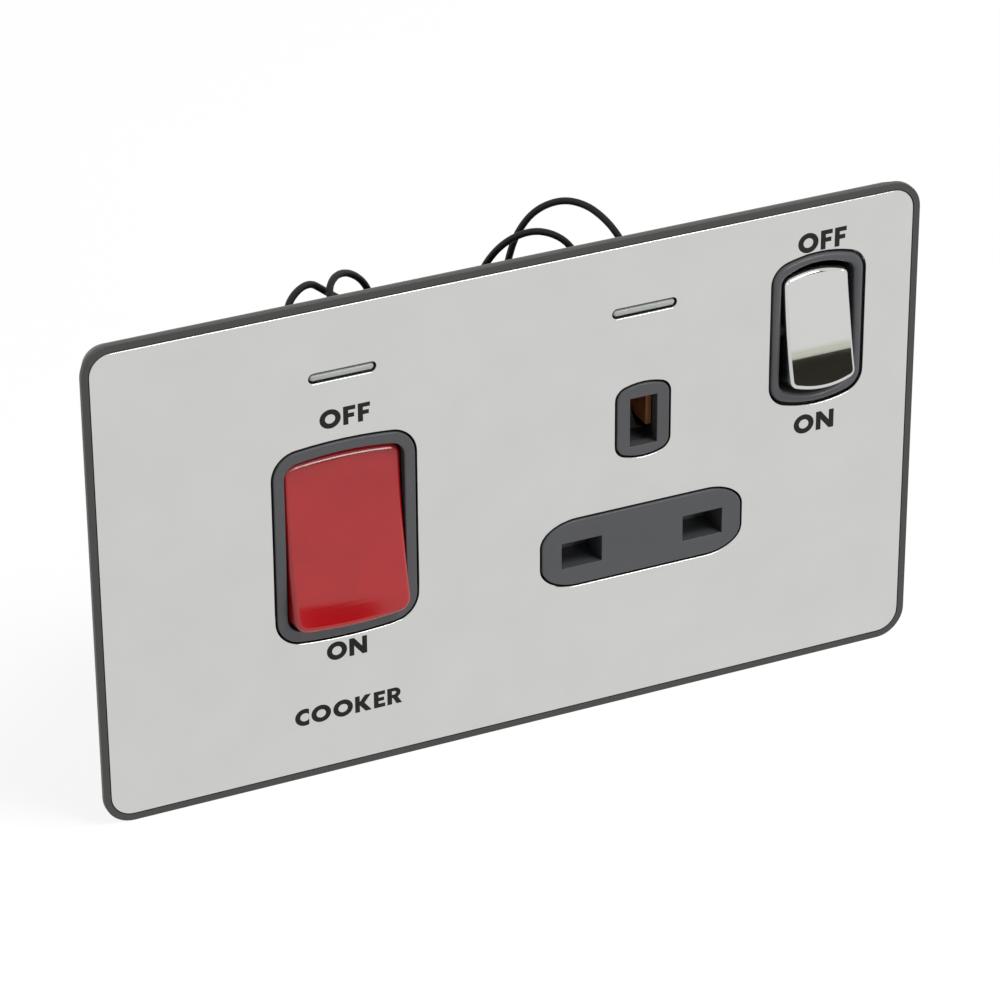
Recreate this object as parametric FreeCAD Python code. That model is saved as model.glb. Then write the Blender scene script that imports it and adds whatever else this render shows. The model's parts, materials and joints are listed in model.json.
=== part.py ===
import FreeCAD, Part
import math
import os

# Cooker control unit: a double-pole cooker switch and a switched three-pin socket on one plate.
# Millimetres. The wall is the plane y = 0, the front looks along -Y, X is right and Z is up.
# The origin is on the wall, behind the middle of the face plate.

# Plate, carrier and support frame
PLATE_W = 144.2
PLATE_H = 84.0
PLATE_R = 3.8
PLATE_T = 0.8
STACK = 4.2            # wall to the front of the face plate
PLATE_GAP = 0.12       # shadow line between the plate and the rim
RIM_W = 1.15           # rim seen round the plate
RIM_LAND = 0.9         # square front part of the rim's side
RIM_DRAW = 1.55        # how far the rim's side draws in at the wall
RIM_SETBACK = 0.05     # rim front behind the plate front
FRAME_W = 136.0
FRAME_H = 77.0
FRAME_R = 4.0
FRAME_T = 1.0
FRAME_GAP = 0.3
BOX_PITCH = 120.6      # wall-box screw centres
BOX_HOLE_R = 2.0
SCREW_HEAD_R = 4.6     # room for a wall-box screw head in the carrier

# Plate openings: x, z, width, height, corner across, corner up, fall of the top edge at its ends
COOKER_WELL = (-30.1, 0.2, 25.2, 36.4, 4.8, 4.8, 1.0)
SOCKET_WELL = (54.85, 19.65, 17.5, 28.1, 4.0, 4.0, 2.0)
EARTH_BOSS = (22.9, 9.85, 10.1, 13.9, 2.4, 2.4, 1.2)
PIN_BOSS = (22.9, -12.35, 37.2, 12.8, 6.8, 4.4, 0.0)
LIGHT_H = 1.75
COOKER_LIGHT = (-30.05, 30.1, 11.6, LIGHT_H, LIGHT_H / 2, LIGHT_H / 2, 0.0)
SOCKET_LIGHT = (23.0, 30.1, 11.6, LIGHT_H, LIGHT_H / 2, LIGHT_H / 2, 0.0)
BOSSES = (COOKER_WELL, SOCKET_WELL, EARTH_BOSS, PIN_BOSS)
LIGHTS = (COOKER_LIGHT, SOCKET_LIGHT)
BOSS_GAP = 0.3         # boss inside its plate opening
PASS_GAP = 0.3         # boss inside the carrier and frame openings
BOSS_PROUD = 0.1       # boss front ahead of the plate front
LENS_RECESS = 0.15
LENS_GAP = 0.25

# Pin slots
EARTH_X = 22.95
EARTH_Z = 9.6
EARTH_SLOT_W = 4.9
EARTH_SLOT_H = 8.9
EARTH_POCKET_W = 2.0   # room for the earth leaves behind the slot's front lip
EARTH_POCKET_H = 0.8
EARTH_LIP = 1.9
PIN_PITCH = 22.25
PIN_Z = -12.63
PIN_SLOT_W = 7.3
PIN_SLOT_H = 4.7
LINE_X = EARTH_X + PIN_PITCH / 2
NEUTRAL_X = EARTH_X - PIN_PITCH / 2

# Housing mouldings
WALL = 1.4
FRONT_WALL = 2.0
FRONT_D = 14.7         # wall plane to the joint between the two housings
HOUSING_LEFT = -43.0
HOUSING_RIGHT = 63.2
HOUSING_TOP = 33.0
NOTCH_X = 47.0         # the lower right corner is left free for the wall-box lug
NOTCH_Z = 5.8
COVER_T = 1.6
COVER_INSET = 1.0      # cover edge inside the front housing's edge
TOWER_RIGHT = 15.0     # deep part of the cover, over the cable terminals
TOWER_H = 44.0
TOWER_D = 13.6
STEP_LEFT = 5.0        # shallow part of the cover, behind the socket
STEP_RIGHT = 46.0
STEP_H = 40.0
STEP_D = 4.0
RIB_HALF = 0.6         # half thickness of the walls between the terminals
POST_R = 2.6
POST_EDGE = 1.2        # lower screw posts to the housing's foot
HOUSING_SCREW_R = 1.2
HOUSING_SCREW_L = 8.0
HOUSING_HEAD_R = 2.1
HOUSING_HEAD_T = 1.2
HEAD_CLEAR = 1.1       # lower screw heads to the tower
HIGH_SCREW_Z = 28.4
LOW_SCREW_Z = -TOWER_H / 2 - HOUSING_HEAD_R - HEAD_CLEAR
HOUSING_FOOT = LOW_SCREW_Z - POST_R - POST_EDGE
HOUSING_SCREWS = ((-39.8, HIGH_SCREW_Z), (-39.8, LOW_SCREW_Z), (43.6, LOW_SCREW_Z), (33.2, HIGH_SCREW_Z))
SCREW_HOLE_L = 9.0
SLOT_DEPTH = 0.8       # driver slots
SLOT_W = 0.8
RIVETS = ((-8.0, 22.0), (-8.0, -22.0), (43.6, -1.0), (43.6, -18.0))
RIVET_R = 1.2
RIVET_HEAD_R = 2.2
RIVET_TAIL_R = 1.9
RIVET_TAIL_L = 1.0
CLIP_X = (-8.0, 38.0)
CLIP_Z = 31.8
CLIP_W = 7.0
CLIP_T = 1.2
CLIP_CATCH = 0.6

# Rockers and their see-saw contact levers
PIVOT_DEPTH = 3.0      # rocker pivot behind the plate front
TRUNNION_R = 1.4
TRUNNION_SEAT = 1.0    # trunnion length inside the bezel wall
RUN_GAP = 0.05         # running clearance of a pin in its seat
ROCKER_REAR = 1.0      # rocker body behind its pivot
ROCKER_WALL = 1.6
ROCKER_CORE_R = 1.0    # corners of the hollow behind the rocker's face
STEM_R = 2.3
PLUNGER_R = 1.4
PLUNGER_L = 5.0
PLUNGER_PROUD = 2.2    # plunger tip past the end of its stem
LEVER_AXIS_Y = 10.0
LEVER_T = 1.0
LEVER_PIN_R = 0.9
TIP_GAP = 0.25         # plunger tip to lever at mid travel
EAR_T = 0.8            # ears of the cradle that carries a lever
EAR_HALF = 2.0
EAR_GAP = 0.15
CONTACT_T = 0.6
CONTACT_R = 1.7
CONTACT_GAP = 0.25
CONTACT_INSET = 1.8    # contact centre in from the lever's end
STRIP_T = 0.8
POLE_PITCH = 11.0
PLUNGER_TURNS = 5
PLUNGER_COIL_R = 1.0
PLUNGER_WIRE_R = 0.25

# Each rocker: its well and bezel width, pivot height, face size, tilt each way (degrees), pivot to
# the chord of the face, dish of the face, corner, fall of the ends, edge rounding, stem places,
# then the width, half length and tilt each way of its lever
COOKER = {"well": COOKER_WELL, "ring": 1.9, "x": COOKER_WELL[0], "z": 0.1, "w": 20.3, "h": 30.7,
          "tilt": 8.0, "rise": 4.2, "dish": 1.1, "corner": 2.4, "bow": 0.7, "edge": 0.9,
          "stems": (-POLE_PITCH / 2, POLE_PITCH / 2), "lever_w": 5.0, "lever_half": 11.0, "lever_tilt": 8.0}
SOCKET = {"well": SOCKET_WELL, "ring": 1.75, "x": SOCKET_WELL[0], "z": 19.3, "w": 12.0, "h": 21.0,
          "tilt": 11.5, "rise": 4.3, "dish": 0.5, "corner": 1.6, "bow": 1.2, "edge": 0.6,
          "stems": (0.0,), "lever_w": 4.0, "lever_half": 7.0, "lever_tilt": 9.2}

# Cable terminals
TERMINAL_W = 8.6
TERMINAL_L = 11.4
CABLE_R = 3.2
CABLE_Y = 19.8
CLAMP_R = 2.4
CLAMP_PROUD = 1.2
DRIVER_GAP = 0.8       # cover opening round a clamp screw or a cable
STRIP_Y = 13.4         # front of the terminal strips
TERMINAL_FRONT = 14.6
TERMINAL_REAR = 26.0
TERMINAL_CLEAR = 0.4   # terminal block to the cover
EARTH_TERMINAL_X = -8.0
EARTH_BORES = (-3.8, 3.8)
STRAP_W = 3.2          # half width of the earth strap
STRAP_TOP = -1.5

# Socket contacts
PIN_HALF = 2.0         # half of a flat pin's thickness
JAW_W = 6.0
JAW_FRONT = 5.2
TAIL_W = 3.4
LINE_TAIL_Y = 13.3
LINK_Y = 11.8
LINK_Z = -22.2
LINK_CLEAR = 0.6
LEAF_GAP = 2.25
LEAF_T = 1.0
LEAF_HALF = 3.1
LEAF_FRONT = -0.4

# Shutter
SHUTTER_T = 2.2
SHUTTER_GAP = 0.2
SHUTTER_LAP = 0.6      # shutter past the edge of a pin slot
SHUTTER_STEM_HALF = 3.0
RAMP_D = 5.8
RAIL_W = 1.5
SHUTTER_SPRING_L = 8.5
SHUTTER_TURNS = 4
SHUTTER_COIL_R = 1.5
SHUTTER_WIRE_R = 0.35
SHUTTER_SPRING_SET = 0.8   # spring axis behind the middle of the shutter
SPRING_SEAT_HALF = 2.6

# Indicator lamps, lenses and leads
LAMP_R = 1.2
LAMP_L = 7.0
LAMP_Y = 5.2
TAIL_R = 0.35
TAIL_REACH = 0.9
TAIL_SHORT = 0.25      # tail end short of the lead's end
FLANGE_T = 1.2
FLANGE_HALF = 1.35
FLANGE_SIDE = 0.8
FINGER_HALF = 0.5
LEAD_R = 0.6
LEAD_HOLE_R = 0.7
LEAD_HOLE_L = 4.8
LEAD_TRIM = 0.45       # share of a run that a bend may take

# Lead routes, chosen by hand: out of the housing top, over in a loop, down into the cover's tower
LEADS = {
    "cooker_lead_left": [(-34.45, 8.0, 32.3), (-34.3, 8.8, 34.6), (-33.0, 10.4, 36.7), (-30.4, 12.2, 37.7),
                         (-27.9, 13.6, 37.4), (-25.9, 14.8, 35.6), (-23.4, 16.4, 33.2), (-20.6, 17.8, 30.8),
                         (-19.9, 20.4, 27.0), (-19.9, 22.2, 23.6), (-19.9, 22.6, 21.2)],
    "cooker_lead_right": [(-25.65, 8.0, 32.3), (-26.0, 9.2, 34.8), (-25.7, 11.6, 36.8), (-23.5, 14.2, 37.6),
                          (-20.4, 16.4, 36.6), (-17.4, 18.0, 34.0), (-15.3, 19.7, 30.6), (-14.0, 21.5, 26.8),
                          (-13.4, 22.5, 23.8), (-13.3, 22.6, 21.2)],
    "socket_lead_left": [(18.6, 11.0, 32.3), (17.6, 11.4, 35.1), (15.3, 13.0, 37.4), (11.8, 15.0, 38.1),
                         (8.0, 17.2, 35.9), (5.4, 19.4, 31.6), (4.6, 21.4, 26.6), (4.5, 22.3, 23.6),
                         (4.7, 22.6, 21.2)],
    "socket_lead_right": [(27.4, 11.0, 32.3), (26.4, 12.4, 35.0), (25.1, 15.4, 37.3), (23.2, 18.8, 38.8),
                          (20.0, 21.4, 39.2), (16.0, 23.2, 37.3), (13.2, 24.2, 33.2), (11.8, 24.6, 28.4),
                          (11.2, 24.8, 24.2), (11.4, 24.6, 21.2)],
}

# Places worked out from the sizes above
OVERRUN = 1.0          # how far a cutter runs past the face it opens
FAR = 200.0
PLATE_FRONT = -STACK
PLATE_REAR = PLATE_FRONT + PLATE_T
BOSS_FRONT = PLATE_FRONT - BOSS_PROUD
PIVOT_Y = PLATE_FRONT + PIVOT_DEPTH
COVER_REAR = FRONT_D + COVER_T
TOWER_REAR = FRONT_D + TOWER_D
TOWER_LEFT = HOUSING_LEFT + COVER_INSET
TIP_REACH = LEVER_AXIS_Y - LEVER_T - TIP_GAP - PIVOT_Y   # pivot to plunger tip
LIVE_X = COOKER["x"] - POLE_PITCH / 2
NEUTRAL_POLE_X = COOKER["x"] + POLE_PITCH / 2
LOW_Z = COVER_T + TERMINAL_CLEAR - TOWER_H / 2
HIGH_Z = -LOW_Z - TERMINAL_L
EARTH_TERMINAL_W = TERMINAL_W + EARTH_BORES[1] - EARTH_BORES[0]


def vec(x, y, z):
    return FreeCAD.Vector(x, y, z)


def box(x0, x1, y0, y1, z0, z1):
    return Part.makeBox(x1 - x0, y1 - y0, z1 - z0, vec(x0, y0, z0))


def rod_x(x0, x1, y, z, r):
    return Part.makeCylinder(r, x1 - x0, vec(x0, y, z), vec(1, 0, 0))


def rod_y(x, y0, y1, z, r):
    return Part.makeCylinder(r, y1 - y0, vec(x, y0, z), vec(0, 1, 0))


def rod_z(x, y, z0, z1, r):
    return Part.makeCylinder(r, z1 - z0, vec(x, y, z0), vec(0, 0, 1))


def fuse(shapes):
    return shapes[0].multiFuse(shapes[1:]).removeSplitter()


def prism(corners, x0, x1):
    """Solid between x0 and x1 with the given corners (y, z)."""
    ring = [vec(x0, y, z) for y, z in corners]
    return Part.Face(Part.makePolygon(ring + ring[:1])).extrude(vec(x1 - x0, 0, 0))


def grown(spec, d):
    x, z, w, h, across, up, bow = spec
    return (x, z, w + 2 * d, h + 2 * d, across + d, up + d, bow)


def outline(spec, y):
    """Rounded outline at depth y; bowed top and bottom edges run smoothly into the corners."""
    x, z, w, h, across, up, bow = spec
    right = w / 2
    top = h / 2
    edge_x = right - across
    edge_z = top
    corner_z = top - up
    half_turn = math.pi / 4
    if bow > 0:
        bow_r = (right ** 2 + bow ** 2) / (2 * bow)
        rise = math.sqrt((bow_r - across) ** 2 - edge_x ** 2)
        corner_z = top - bow_r + rise
        half_turn = math.atan2(rise, edge_x) / 2
        edge_x *= bow_r / (bow_r - across)
        edge_z = top - bow_r + rise * bow_r / (bow_r - across)
    mid_x = right - across + across * math.cos(half_turn)
    mid_z = corner_z + up * math.sin(half_turn)

    def place(px, pz):
        return vec(x + px, y, z + pz)

    edges = []
    for sx in (1, -1):
        for sz in (1, -1):
            side = place(sx * right, sz * corner_z)
            end = place(sx * edge_x, sz * edge_z)
            if across == up:
                curve = Part.Arc(side, place(sx * mid_x, sz * mid_z), end)
            else:
                oval = Part.Ellipse(side, end, place(sx * edge_x, sz * corner_z))
                curve = Part.ArcOfEllipse(oval, 0, math.pi / 2)
            edges.append(curve.toShape())
        if corner_z > RUN_GAP:
            edges.append(Part.makeLine(place(sx * right, corner_z), place(sx * right, -corner_z)))
    for sz in (1, -1):
        left_end = place(-edge_x, sz * edge_z)
        right_end = place(edge_x, sz * edge_z)
        if bow > 0:
            edges.append(Part.Arc(left_end, place(0, sz * top), right_end).toShape())
        else:
            edges.append(Part.makeLine(left_end, right_end))
    return Part.Wire(Part.__sortEdges__(edges))


def slab(spec, y0, y1):
    return Part.Face(outline(spec, y0)).extrude(vec(0, y1 - y0, 0))


def sheet_spec(w, h, r):
    return (0.0, 0.0, w, h, r, r, 0.0)


def well_half_width(facts):
    return facts["well"][2] / 2 - BOSS_GAP - facts["ring"]


def shutter_half_width():
    return PIN_PITCH / 2 + PIN_SLOT_W / 2 + SHUTTER_LAP


def shutter_foot_z():
    return PIN_Z - PIN_SLOT_H / 2 - SHUTTER_LAP


def spring_seat_z():
    return shutter_foot_z() - SHUTTER_SPRING_L


def cradle_half(facts):
    return facts["lever_w"] / 2 + EAR_GAP + EAR_T


def clip_places():
    return [(x, side) for x in CLIP_X for side in (1, -1)]


def clamp_places():
    """X, z of every terminal clamp screw."""
    low = LOW_Z + TERMINAL_L / 2
    high = HIGH_Z + TERMINAL_L / 2
    places = [(x, z) for x in (LIVE_X, NEUTRAL_POLE_X) for z in (low, high)]
    return places + [(EARTH_TERMINAL_X + offset, low) for offset in EARTH_BORES]


def lead_hole(end, inner):
    start = vec(*end)
    way = vec(*inner).sub(start).normalize()
    return Part.makeCylinder(LEAD_HOLE_R, LEAD_HOLE_L, start.sub(way * (LEAD_HOLE_L / 2)), way)


def turned(shape, y, z, degrees):
    copy = shape.copy()
    copy.rotate(vec(0, y, z), vec(1, 0, 0), degrees)
    return copy


def face_plate():
    plate = slab(sheet_spec(PLATE_W, PLATE_H, PLATE_R), PLATE_FRONT, PLATE_REAR)
    for spec in BOSSES + LIGHTS:
        plate = plate.cut(slab(spec, PLATE_FRONT - OVERRUN, PLATE_REAR + OVERRUN))
    return plate


def plate_carrier():
    """Moulded frame that holds the plate: its rim shows, its clips catch behind the support frame."""
    rim = RIM_W + PLATE_GAP
    front = PLATE_FRONT + RIM_SETBACK
    wide = sheet_spec(PLATE_W + 2 * rim, PLATE_H + 2 * rim, PLATE_R + rim)
    drawn = grown(wide, -RIM_DRAW)
    body = fuse([
        slab(wide, front, front + RIM_LAND),
        Part.makeLoft([outline(wide, front + RIM_LAND), outline(drawn, 0)], True, True),
    ])
    seat = sheet_spec(PLATE_W + 2 * PLATE_GAP, PLATE_H + 2 * PLATE_GAP, PLATE_R + PLATE_GAP)
    body = body.cut(slab(seat, front - OVERRUN, PLATE_REAR))
    pocket = sheet_spec(FRAME_W + 2 * FRAME_GAP, FRAME_H + 2 * FRAME_GAP, FRAME_R + FRAME_GAP)
    body = body.cut(slab(pocket, -FRAME_T, OVERRUN))
    for spec in BOSSES + LIGHTS:
        body = body.cut(slab(grown(spec, PASS_GAP - BOSS_GAP), PLATE_REAR - OVERRUN, OVERRUN))
    for side in (1, -1):
        body = body.cut(rod_y(side * BOX_PITCH / 2, PLATE_REAR - OVERRUN, OVERRUN, 0, SCREW_HEAD_R))
    clips = []
    for x, side in clip_places():
        near = side * (CLIP_Z - CLIP_T / 2)
        outer = side * (CLIP_Z + CLIP_T / 2)
        caught = outer + side * CLIP_CATCH
        left = x - CLIP_W / 2
        right = x + CLIP_W / 2
        clips.append(box(left, right, -FRAME_T, CLIP_T + RUN_GAP, min(near, outer), max(near, outer)))
        clips.append(box(left, right, RUN_GAP, CLIP_T + RUN_GAP, min(near, caught), max(near, caught)))
    return fuse([body] + clips)


def support_frame():
    """Steel sheet that is screwed to the wall box and carries the housing."""
    frame = slab(sheet_spec(FRAME_W, FRAME_H, FRAME_R), -FRAME_T, 0)
    for spec in BOSSES + LIGHTS:
        frame = frame.cut(slab(grown(spec, PASS_GAP - BOSS_GAP), -FRAME_T - OVERRUN, OVERRUN))
    for side in (1, -1):
        frame = frame.cut(rod_y(side * BOX_PITCH / 2, -FRAME_T - OVERRUN, OVERRUN, 0, BOX_HOLE_R))
    half = CLIP_T / 2 + PASS_GAP / 2
    reach = CLIP_W / 2 + PASS_GAP
    for x, side in clip_places():
        z = side * CLIP_Z
        frame = frame.cut(box(x - reach, x + reach, -FRAME_T - OVERRUN, OVERRUN, z - half, z + half))
    for x, z in RIVETS:
        frame = frame.cut(rivet(x, z, RUN_GAP))
    return frame


def rivet(x, z, gap=0.0):
    """Flush rivet from the frame's front into the housing's front wall."""
    end = FRONT_WALL + RIVET_TAIL_L
    head = rod_y(x, -FRAME_T - gap, -FRAME_T / 2 + gap, z, RIVET_HEAD_R + gap)
    shank = rod_y(x, -FRAME_T, end, z, RIVET_R + gap)
    tail = rod_y(x, FRONT_WALL - gap, end, z, RIVET_TAIL_R + gap)
    return fuse([head, shank, tail])


def housing_block(inset, y0, y1):
    """The housing's L-shaped outline, moved in by inset."""
    left = HOUSING_LEFT + inset
    right = HOUSING_RIGHT - inset
    foot = HOUSING_FOOT + inset
    top = HOUSING_TOP - inset
    notch_x = NOTCH_X - inset
    notch_z = NOTCH_Z + inset
    corners = [(left, foot), (notch_x, foot), (notch_x, notch_z), (right, notch_z), (right, top), (left, top)]
    ring = [vec(x, y0, z) for x, z in corners]
    return Part.Face(Part.makePolygon(ring + ring[:1])).extrude(vec(0, y1 - y0, 0))


def pin_slot(x, z, w, h, y0):
    return box(x - w / 2, x + w / 2, y0, FRONT_WALL + OVERRUN, z - h / 2, z + h / 2)


def front_housing():
    """Front moulding: bezels, pin bosses, screw posts, shutter rails and the lamp lead holes."""
    solid = [housing_block(0, 0, FRONT_D).cut(housing_block(WALL, FRONT_WALL, FRONT_D + OVERRUN))]
    for spec in BOSSES:
        solid.append(slab(grown(spec, -BOSS_GAP), BOSS_FRONT, FRONT_WALL))
    for x, z in HOUSING_SCREWS:
        solid.append(rod_y(x, FRONT_WALL / 2, FRONT_D, z, POST_R))
    left_rail = EARTH_X - shutter_half_width() - SHUTTER_GAP - RAIL_W
    right_rail = EARTH_X + shutter_half_width() + SHUTTER_GAP
    rail_y = FRONT_WALL + SHUTTER_GAP + SHUTTER_T
    seat_z = spring_seat_z()
    for x in (left_rail, right_rail):
        solid.append(box(x, x + RAIL_W, FRONT_WALL / 2, rail_y, seat_z, PIN_Z + PIN_SLOT_H))
    solid.append(box(EARTH_X - SPRING_SEAT_HALF, EARTH_X + SPRING_SEAT_HALF, FRONT_WALL / 2, rail_y + WALL,
                     seat_z - WALL, seat_z))
    body = fuse(solid)
    for facts in (COOKER, SOCKET):
        well = grown(facts["well"], -BOSS_GAP - facts["ring"])
        body = body.cut(slab(well, BOSS_FRONT - OVERRUN, FRONT_WALL + OVERRUN))
        reach = well_half_width(facts) + TRUNNION_SEAT + RUN_GAP
        x = facts["x"]
        body = body.cut(rod_x(x - reach, x + reach, PIVOT_Y, facts["z"], TRUNNION_R + RUN_GAP))
    body = body.cut(pin_slot(EARTH_X, EARTH_Z, EARTH_SLOT_W, EARTH_SLOT_H, BOSS_FRONT - OVERRUN))
    body = body.cut(pin_slot(EARTH_X, EARTH_Z, EARTH_SLOT_W + EARTH_POCKET_W, EARTH_SLOT_H + EARTH_POCKET_H,
                             BOSS_FRONT + EARTH_LIP))
    for x in (LINE_X, NEUTRAL_X):
        body = body.cut(pin_slot(x, PIN_Z, PIN_SLOT_W, PIN_SLOT_H, BOSS_FRONT - OVERRUN))
    for spec in LIGHTS:
        body = body.cut(slab(grown(spec, -LENS_GAP / 2), -OVERRUN, FRONT_WALL + OVERRUN))
    for x, z in RIVETS:
        body = body.cut(rivet(x, z, RUN_GAP))
    for x, z in HOUSING_SCREWS:
        body = body.cut(rod_y(x, FRONT_D - SCREW_HOLE_L, FRONT_D + OVERRUN, z, HOUSING_SCREW_R + RUN_GAP))
    reach = CLIP_W / 2 + 2 * PASS_GAP
    for x, side in clip_places():
        low, high = sorted((side * (CLIP_Z - CLIP_T), side * FAR))
        body = body.cut(box(x - reach, x + reach, -OVERRUN, CLIP_T + 2 * PASS_GAP, low, high))
    for points in LEADS.values():
        body = body.cut(lead_hole(points[0], points[1]))
    return body


def rocker(facts):
    """Dished rocker cap with moulded trunnions and plunger stems, stored with its top pressed in."""
    x = facts["x"]
    z = facts["z"]
    w = facts["w"]
    h = facts["h"]
    front = PIVOT_Y - facts["rise"]
    rear = PIVOT_Y + ROCKER_REAR
    left = x - w / 2
    foot = z - h / 2
    top = z + h / 2
    dished = Part.Arc(vec(left, front, foot), vec(left, front + facts["dish"], z), vec(left, front, top))
    sides = Part.makePolygon([vec(left, front, top), vec(left, rear, top), vec(left, rear, foot),
                              vec(left, front, foot)])
    profile = Part.Face(Part.Wire([dished.toShape()] + sides.Edges))
    spec = (x, z, w, h, facts["corner"], facts["corner"], facts["bow"])
    cap = profile.extrude(vec(w, 0, 0)).common(slab(spec, front - OVERRUN, rear))
    face = min(cap.Faces, key=lambda f: f.CenterOfMass.y)
    cap = cap.makeFillet(facts["edge"], face.Edges)
    ceiling = front + facts["dish"] + ROCKER_WALL
    inside = w / 2 - ROCKER_WALL
    hollow_h = h - 2 * ROCKER_WALL - 2 * facts["bow"]
    hollow = (x, z, 2 * inside, hollow_h, ROCKER_CORE_R, ROCKER_CORE_R, 0.0)
    parts = [cap.cut(slab(hollow, ceiling, rear + OVERRUN))]
    reach = well_half_width(facts) + TRUNNION_SEAT
    for side in (1, -1):
        ends = sorted((x + side * inside, x + side * reach))
        parts.append(rod_x(ends[0], ends[1], PIVOT_Y, z, TRUNNION_R))
    stem_end = PIVOT_Y + TIP_REACH - PLUNGER_PROUD
    for offset in facts["stems"]:
        parts.append(rod_y(x + offset, ceiling - ROCKER_WALL / 2, stem_end, z, STEM_R))
    body = fuse(parts)
    for offset in facts["stems"]:
        body = body.cut(rod_y(x + offset, PIVOT_Y, PIVOT_Y + TIP_REACH, z, PLUNGER_R + RUN_GAP))
    return turned(body, PIVOT_Y, z, -facts["tilt"])


def plunger(facts, offset):
    x = facts["x"] + offset
    z = facts["z"]
    tip = PIVOT_Y + TIP_REACH
    stem = rod_y(x, tip - PLUNGER_L, tip - PLUNGER_R, z, PLUNGER_R)
    nose = Part.makeSphere(PLUNGER_R, vec(x, tip - PLUNGER_R, z))
    return turned(fuse([stem, nose]), PIVOT_Y, z, -facts["tilt"])


def coil(length, turns, coil_r, wire_r):
    """Coil spring along +Z from the origin."""
    height = length - 2 * wire_r
    path = Part.makeLongHelix(height / turns, height, coil_r)
    ring = Part.Wire(Part.makeCircle(wire_r, vec(coil_r, 0, 0), vec(0, 1, 0)))
    spring = Part.Wire(path.Edges).makePipeShell([ring], True, True)
    spring.translate(vec(0, 0, wire_r))
    return spring


def plunger_spring(facts, offset):
    spring = coil(TIP_REACH - PLUNGER_L - 2 * RUN_GAP, PLUNGER_TURNS, PLUNGER_COIL_R, PLUNGER_WIRE_R)
    spring.rotate(vec(0, 0, 0), vec(1, 0, 0), -90)
    spring.translate(vec(facts["x"] + offset, PIVOT_Y + RUN_GAP, facts["z"]))
    return turned(spring, PIVOT_Y, facts["z"], -facts["tilt"])


def lever(facts, offset):
    """See-saw contact lever, stored tipped away from the fixed contact above its pivot."""
    x = facts["x"] + offset
    z = facts["z"]
    half_w = facts["lever_w"] / 2
    half = facts["lever_half"]
    pin = cradle_half(facts)
    plate = box(x - half_w, x + half_w, LEVER_AXIS_Y - LEVER_T, LEVER_AXIS_Y, z - half, z + half)
    contact = rod_y(x, LEVER_AXIS_Y - LEVER_T / 2, LEVER_AXIS_Y + CONTACT_T, z + half - CONTACT_INSET, CONTACT_R)
    body = fuse([plate, contact, rod_x(x - pin, x + pin, LEVER_AXIS_Y, z, LEVER_PIN_R)])
    return turned(body, LEVER_AXIS_Y, z, facts["lever_tilt"])


def fixed_contact(facts, offset, rear):
    """Fixed contact button, just behind the lever's contact when the lever is tipped on."""
    tilt = math.radians(facts["lever_tilt"])
    arm = facts["lever_half"] - CONTACT_INSET
    front = LEVER_AXIS_Y + (arm + CONTACT_R) * math.sin(tilt) + CONTACT_T * math.cos(tilt) + CONTACT_GAP
    return rod_y(facts["x"] + offset, front, rear, facts["z"] + arm, CONTACT_R)


def cradle(facts, offset, rear):
    """Two ears with open notches that carry a lever's pin."""
    x = facts["x"] + offset
    z = facts["z"]
    inner = facts["lever_w"] / 2 + EAR_GAP
    notch = LEVER_PIN_R + RUN_GAP
    front = LEVER_AXIS_Y - LEVER_PIN_R
    ears = []
    for left in (x - inner - EAR_T, x + inner):
        ear = box(left, left + EAR_T, front, rear, z - EAR_HALF, z + EAR_HALF)
        ear = ear.cut(rod_x(left, left + EAR_T, LEVER_AXIS_Y, z, notch))
        ears.append(ear.cut(box(left, left + EAR_T, front, LEVER_AXIS_Y, z - notch, z + notch)))
    return ears


def cable_block(x, z0, bores=(0.0,), w=TERMINAL_W):
    """Brass block with a cable bore along Z and a clamp screw hole from the rear for each cable."""
    top = z0 + TERMINAL_L
    block = box(x - w / 2, x + w / 2, TERMINAL_FRONT, TERMINAL_REAR, z0, top)
    for offset in bores:
        block = block.cut(rod_z(x + offset, CABLE_Y, z0 - OVERRUN, top + OVERRUN, CABLE_R))
        block = block.cut(rod_y(x + offset, CABLE_Y, TERMINAL_REAR + OVERRUN, (z0 + top) / 2, CLAMP_R + RUN_GAP))
    return block


def supply_terminal(offset):
    x = COOKER["x"] + offset
    half = cradle_half(COOKER)
    strip = box(x - half, x + half, STRIP_Y, TERMINAL_FRONT, LOW_Z, COOKER["z"] + EAR_HALF)
    return fuse([cable_block(x, LOW_Z), strip] + cradle(COOKER, offset, STRIP_Y))


def load_terminal(offset):
    x = COOKER["x"] + offset
    half = cradle_half(COOKER)
    strip = box(x - half, x + half, STRIP_Y, TERMINAL_FRONT, HIGH_Z - CONTACT_R, HIGH_Z + TERMINAL_L)
    return fuse([cable_block(x, HIGH_Z), strip, fixed_contact(COOKER, offset, STRIP_Y)])


def earth_terminal():
    """Earth block for two cables, with the strap that runs to the socket's earth contact."""
    x = EARTH_TERMINAL_X
    front = TERMINAL_FRONT - STRIP_T
    low = STRAP_TOP - STRAP_W
    block = cable_block(x, LOW_Z, EARTH_BORES, EARTH_TERMINAL_W)
    riser = box(x - STRAP_W, x + STRAP_W, front, TERMINAL_FRONT, LOW_Z + TERMINAL_L / 2, STRAP_TOP)
    across = box(x - STRAP_W, EARTH_X + STRAP_W, front, TERMINAL_FRONT, low, STRAP_TOP)
    upright = box(EARTH_X - STRAP_W, EARTH_X + STRAP_W, front, TERMINAL_FRONT, low, EARTH_Z + LEAF_HALF)
    return fuse([block, riser, across, upright])


def slotted_screw(x, z, tip, shoulder, end, shank_r, head_r):
    """Screw along Y, with its slot at the rear end."""
    screw = fuse([rod_y(x, tip, shoulder, z, shank_r), rod_y(x, shoulder, end, z, head_r)])
    half = SLOT_W / 2
    return screw.cut(box(x - head_r, x + head_r, end - SLOT_DEPTH, end + OVERRUN, z - half, z + half))


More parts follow.
